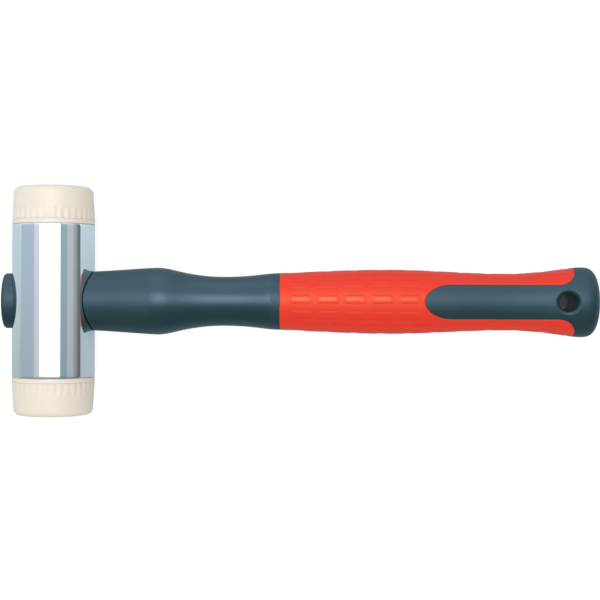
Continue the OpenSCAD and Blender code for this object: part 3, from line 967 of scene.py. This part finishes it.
# Painted shadow: the glow also fades in a round spot on the floor below the hanging hole.
reach = tree.nodes.new("ShaderNodeVectorMath")
reach.operation = "DISTANCE"
reach.inputs[1].default_value = ((HOLE_X + HEAD[0] + HOLE_R) / 1000, 0, FLOOR_Z)
tree.links.new(place.outputs["Object"], reach.inputs[0])
out_of_nook = between(tree, nook.outputs["AO"], 0, 1, NOOK_DARK, NOOK_CLEAR)
out_of_shade = between(tree, reach.outputs["Value"], 0, 1, SHADE_DARK, SHADE_CLEAR)
open_air = times(tree, out_of_nook, out_of_shade)
# Painted light: the glow that mirrors see grows towards +y, where the lamps hang.
lit_side = times(tree, open_air, between(tree, object_axes(tree)["Y"], DIM_SHARE, 1, DIM_Y, BRIGHT_Y))
plain = paper(tree, shade=0.8, glow=0, colour="FFFFFF", air=open_air)
mirrored = paper(tree, shade=0.2, glow=2.03, colour="B4CDD8", air=lit_side)
open_white = paper(tree, shade=0.14, glow=0.93, colour="FFFFFF", air=open_air)
look = choose(tree, "Is Glossy Ray", plain, mirrored)
look = choose(tree, "Is Camera Ray", look, open_white)
look = choose(tree, "Is Transmission Ray", look, open_white)
tree.links.new(look, tree.nodes["Material Output"].inputs["Surface"])
paint(white, floor)
print("floor looks for camera, mirrors and the rest")

# %% [markdown]
# Two level lamps hang a metre up, a little towards +y. The large softbox draws the white stripe down the
# barrel and the broad sheen along the handle. A smaller lamp, just below it and four times as bright,
# makes the crisp light on the smooth waist and on the crowns of the dashes. They are area lamps, because
# a mirror shows a lamp's shape.

# %% Lamps
def hang_lamp(name, place, wide, long, glow):
    """A level lamp that looks as bright as its glow: it gives off glow times pi watts a square metre."""
    data = bpy.data.lights.new(name, "AREA")
    data.shape = "RECTANGLE"
    data.size = wide
    data.size_y = long
    data.energy = glow * np.pi * wide * long
    lamp = bpy.data.objects.new(name, data)
    lamp.location = place
    bpy.context.scene.collection.objects.link(lamp)
    print(name, round(data.energy, 1), "W")


hang_lamp("softbox", place=(-0.115, 0.12, 1.0), wide=1.06, long=0.5, glow=1.1)
hang_lamp("strip_lamp", place=(-0.065, 0.17, 0.99), wide=0.47, long=0.4, glow=4.6)

# %% [markdown]
# A third lamp stands up on the left, towards +y. It lights the sides of the head and the handle that face
# it, and leaves the other sides in a little shade. Mirrors don't see it, so it adds no second stripe.

# %% Side lamp
SIDE_FROM, SIDE_SIZE, SIDE_WATTS = (-0.9, 0.7, 0.6), 0.7, 1.6
side_data = bpy.data.lights.new("side lamp", "AREA")
side_data.shape = "DISK"
side_data.size = SIDE_SIZE
side_data.energy = SIDE_WATTS
side_lamp = bpy.data.objects.new("side_lamp", side_data)
side_lamp.location = SIDE_FROM
side_lamp.rotation_euler = (-Vector(SIDE_FROM)).to_track_quat("-Z", "Y").to_euler()
side_lamp.visible_glossy = False
bpy.context.scene.collection.objects.link(side_lamp)
print("side lamp", SIDE_WATTS, "W")

# %% [markdown]
# Chrome shows the room as stripes: blue-grey on the left, pale beside the softbox, and grey bands on the
# right. To mirrors the room brightens towards +y, which gives the slate and the rubber their sheen on that
# side, and it never goes black, so chrome stays bright from all round. Matte things only gather its light:
# for them it is a white dome, stronger towards -y to fill the shade. The camera sees plain white.
# A picture of a studio could stand round the hammer instead, but bands of colour by angle are enough.

# %% Bands of the room
LEAN = 110
BANDS = [(-110, "A8BAC6"), (-47, "A8BAC6"), (-43, "CFCFDA"), (-30, "D4D3DD"), (28, "E0E4E8"),
         (29, "91AAAF"), (47, "91AAAF"), (49, "B8BAC6"), (65, "B8BAC6"), (67, "9BB3B3"), (80, "84898C"),
         (83, "726A70"), (110, "726A70")]
room = bpy.data.worlds.new("studio")
bpy.context.scene.world = room
room.use_nodes = True
tree = room.node_tree
look = tree.nodes.new("ShaderNodeTexCoord")
axes = tree.nodes.new("ShaderNodeSeparateXYZ")
tree.links.new(look.outputs["Generated"], axes.inputs["Vector"])
lean = tree.nodes.new("ShaderNodeMath")
lean.operation = "ARCTAN2"
tree.links.new(axes.outputs["X"], lean.inputs[0])
tree.links.new(axes.outputs["Z"], lean.inputs[1])
spread = between(tree, lean.outputs["Value"], 0, 1, -np.radians(LEAN), np.radians(LEAN))
walls = shades(tree, spread, [((angle + LEAN) / (2 * LEAN), code) for angle, code in BANDS])
print("room with", len(BANDS), "bands")

# %% Light of the room
MIRROR_DIM, MIRROR_BRIGHT, MIRROR_DIM_Y = 0.3, 2.7, -0.42
DOME_FILL, DOME_LIT = 0.78, 0.4
mirrored = tree.nodes["Background"]
tree.links.new(walls, mirrored.inputs["Color"])
mirror_light = between(tree, axes.outputs["Y"], MIRROR_DIM, MIRROR_BRIGHT, MIRROR_DIM_Y, 1)
tree.links.new(mirror_light, mirrored.inputs["Strength"])
dome = tree.nodes.new("ShaderNodeBackground")
tree.links.new(between(tree, axes.outputs["Y"], DOME_FILL, DOME_LIT, -1, 1), dome.inputs["Strength"])
blank = tree.nodes.new("ShaderNodeBackground")
for plain in (dome, blank):
    plain.inputs["Color"].default_value = (1, 1, 1, 1)
seen = choose(tree, "Is Glossy Ray", dome.outputs["Background"], mirrored.outputs["Background"])
seen = choose(tree, "Is Camera Ray", seen, blank.outputs["Background"])
tree.links.new(seen, tree.nodes["World Output"].inputs["Surface"])
print("dome strength from", DOME_LIT, "to", DOME_FILL)

# %% [markdown]
# ## The camera
# The photo looks straight down from about 0.6 m above the handle, turned by a sixth of a degree. The
# camera's place and lens were set so that the hammer's outline fits the photo's.

# %% Camera
LENS, SENSOR, ROLL = 78.0, 36.0, np.radians(0.16)
camera_data = bpy.data.cameras.new("camera")
camera_data.lens = LENS
camera_data.sensor_width = SENSOR
camera_data.dof.use_dof = False
camera = bpy.data.objects.new("camera", camera_data)
camera.location = (-0.0005, 0.0007, 0.6261)
camera.rotation_euler = (0, 0, ROLL)
bpy.context.scene.collection.objects.link(camera)
bpy.context.scene.camera = camera
bpy.context.scene.view_settings.view_transform = "Standard"
print("camera at", tuple(camera.location))
